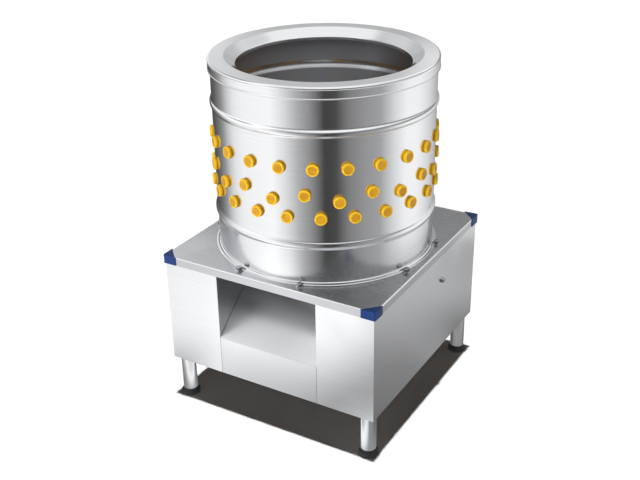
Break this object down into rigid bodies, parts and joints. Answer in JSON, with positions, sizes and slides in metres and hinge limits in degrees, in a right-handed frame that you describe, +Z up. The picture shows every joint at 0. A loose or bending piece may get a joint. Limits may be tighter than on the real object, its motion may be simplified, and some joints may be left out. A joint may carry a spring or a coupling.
{
  "type": "poultry plucker",
  "caption": "Drum poultry plucker: stainless drum with rubber fingers, belt-driven finger plate, square cabinet with a feather chute, four legs.",
  "frame": {"origin": "centre of the footprint, on the floor under the feet", "axes": "+Z up, the chute mouth faces -Y, +X to the right seen from the front"},
  "size_m": [0.6098, 0.609, 0.908],
  "materials": {
    "brushed_stainless": "fine brushed stainless sheet",
    "polished_stainless": "bright polished stainless sheet",
    "stainless_frame": "mill finish stainless",
    "blue_plastic": "moulded blue plastic",
    "stainless_fasteners": "plain stainless",
    "amber_rubber": "moulded amber rubber",
    "cast_iron": "machined cast iron",
    "ground_steel": "ground steel",
    "seal_rubber": "black nitrile rubber",
    "belt_rubber": "black belt rubber",
    "zinc_plate": "zinc plated steel",
    "motor_paint": "grey blue enamel",
    "black_plastic": "black moulded plastic",
    "foot_plastic": "black nylon",
    "green_plastic": "green moulded plastic",
    "red_plastic": "red moulded plastic"
  },
  "bodies": {
    "cabinet": {"deck_panel": "brushed_stainless", "front_panel_left": "brushed_stainless", "front_panel_right": "brushed_stainless", "side_panel_left": "brushed_stainless", "side_panel_right": "brushed_stainless", "rear_panel": "brushed_stainless", "chute_slide": "brushed_stainless", "chute_cheeks": "brushed_stainless", "corner_posts": "stainless_frame", "top_rails": "stainless_frame", "bottom_rails": "stainless_frame", "corner_cap_front_left": "blue_plastic", "corner_cap_front_right": "blue_plastic", "corner_cap_rear_left": "blue_plastic", "corner_cap_rear_right": "blue_plastic", "leg_front_left": "polished_stainless", "leg_front_right": "polished_stainless", "leg_rear_left": "polished_stainless", "leg_rear_right": "polished_stainless", "drum_shell": "polished_stainless", "rim_ring": "polished_stainless", "drum_foot_ring": "polished_stainless", "drum_bolts": "stainless_fasteners", "drum_nuts": "stainless_fasteners", "wall_fingers_upper": "amber_rubber", "wall_fingers_middle": "amber_rubber", "wall_fingers_lower": "amber_rubber", "spindle_beam": "stainless_frame", "beam_bolts": "stainless_fasteners", "spindle_housing": "cast_iron", "spindle_bolts": "stainless_fasteners", "bearing_outer_rings": "ground_steel", "shaft_seals": "seal_rubber", "motor_crossbars": "stainless_frame", "motor_plate": "zinc_plate", "motor_frame": "motor_paint", "motor_end_shields": "motor_paint", "fan_cowl": "motor_paint", "terminal_box": "motor_paint", "motor_bolts": "stainless_fasteners", "v_belt": "belt_rubber", "switch_body": "black_plastic", "cable_gland": "black_plastic"},
    "rotor": {"finger_plate": "polished_stainless", "plate_hub": "cast_iron", "spindle_shaft": "ground_steel", "plate_fingers": "amber_rubber", "feather_scrapers": "stainless_frame", "plate_cap_nut": "stainless_fasteners", "driven_pulley": "cast_iron", "bearing_inner_rings": "ground_steel"},
    "motor_rotor": {"motor_shaft": "ground_steel", "motor_pulley": "cast_iron", "cooling_fan": "black_plastic"},
    "foot_front_left": {"foot_front_left": "foot_plastic"},
    "foot_front_right": {"foot_front_right": "foot_plastic"},
    "foot_rear_left": {"foot_rear_left": "foot_plastic"},
    "foot_rear_right": {"foot_rear_right": "foot_plastic"},
    "start_button": {"start_button": "green_plastic"},
    "stop_button": {"stop_button": "red_plastic"}
  },
  "joints": [
    {"name": "plate_spin", "type": "hinge", "parent": "cabinet", "child": "rotor", "pos_m": [0, 0, 0.462], "axis": [0, 0, 1], "continuous": true},
    {"name": "motor_spin", "type": "hinge", "parent": "cabinet", "child": "motor_rotor", "pos_m": [0, 0.195, 0.194], "axis": [0, 0, 1], "continuous": true},
    {"name": "foot_front_left_height", "type": "slide", "parent": "cabinet", "child": "foot_front_left", "axis": [0, 0, 1], "range_m": [-0.02, 0]},
    {"name": "foot_front_right_height", "type": "slide", "parent": "cabinet", "child": "foot_front_right", "axis": [0, 0, 1], "range_m": [-0.02, 0]},
    {"name": "foot_rear_left_height", "type": "slide", "parent": "cabinet", "child": "foot_rear_left", "axis": [0, 0, 1], "range_m": [-0.02, 0]},
    {"name": "foot_rear_right_height", "type": "slide", "parent": "cabinet", "child": "foot_rear_right", "axis": [0, 0, 1], "range_m": [-0.02, 0]},
    {"name": "start_press", "type": "slide", "parent": "cabinet", "child": "start_button", "axis": [0, -1, 0], "range_m": [0, 0.004], "stiffness_N_per_m": 400},
    {"name": "stop_press", "type": "slide", "parent": "cabinet", "child": "stop_button", "axis": [0, -1, 0], "range_m": [0, 0.004], "stiffness_N_per_m": 400}
  ],
  "couplings": [
    {"joint": "motor_spin", "follows": "plate_spin", "ratio": 3.3333}
  ]
}
